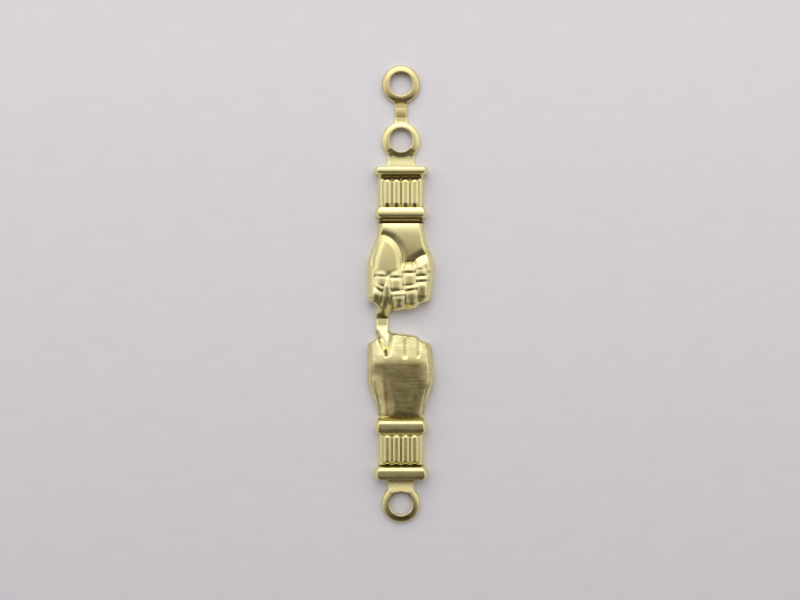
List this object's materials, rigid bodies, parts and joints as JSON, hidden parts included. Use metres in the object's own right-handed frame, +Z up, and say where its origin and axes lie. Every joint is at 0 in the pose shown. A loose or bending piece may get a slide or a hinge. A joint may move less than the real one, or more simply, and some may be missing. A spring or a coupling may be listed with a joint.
{
  "type": "figa charm",
  "caption": "Fold-over fig-sign hand charm stamped from thin brass sheet, with a fluted cuff and hanging rings.",
  "frame": {"origin": "centre of the flat strip's box, on the surface that its cut rim rests on", "axes": "+X across the strip, +Y along it towards the lock ring, +Z up out of the relief"},
  "size_m": [0.0066, 0.0458, 0.0018],
  "materials": {
    "bright_brass": "satin raw brass, struck smooth, with a slight greenish yellow cast",
    "brushed_brass": "raw brass with fine brush lines across the strip and a light tan tarnish"
  },
  "bodies": {
    "palm_half": {"palm": "bright_brass", "front_wrist_bead": "bright_brass", "front_fluted_cuff": "bright_brass", "front_end_bead": "bright_brass", "front_bail_ring": "bright_brass", "thumb_bend_strip": "bright_brass", "neck_bend_strip": "bright_brass"},
    "back_half": {"back_of_hand": "brushed_brass", "back_wrist_bead": "bright_brass", "back_fluted_cuff": "bright_brass", "back_end_bead": "bright_brass", "end_ring": "bright_brass"},
    "lock_tab": {"lock_ring": "bright_brass"}
  },
  "joints": [
    {"name": "thumb_fold", "type": "hinge", "parent": "palm_half", "child": "back_half", "pos_m": [0, -0.00281, -0.00005], "axis": [1, 0, 0], "range_deg": [0, 180], "deforming": ["thumb_bend_strip"]},
    {"name": "neck_fold", "type": "hinge", "parent": "palm_half", "child": "lock_tab", "pos_m": [0, 0.01814, -0.00028], "axis": [-1, 0, 0], "range_deg": [0, 178], "deforming": ["neck_bend_strip"]}
  ]
}
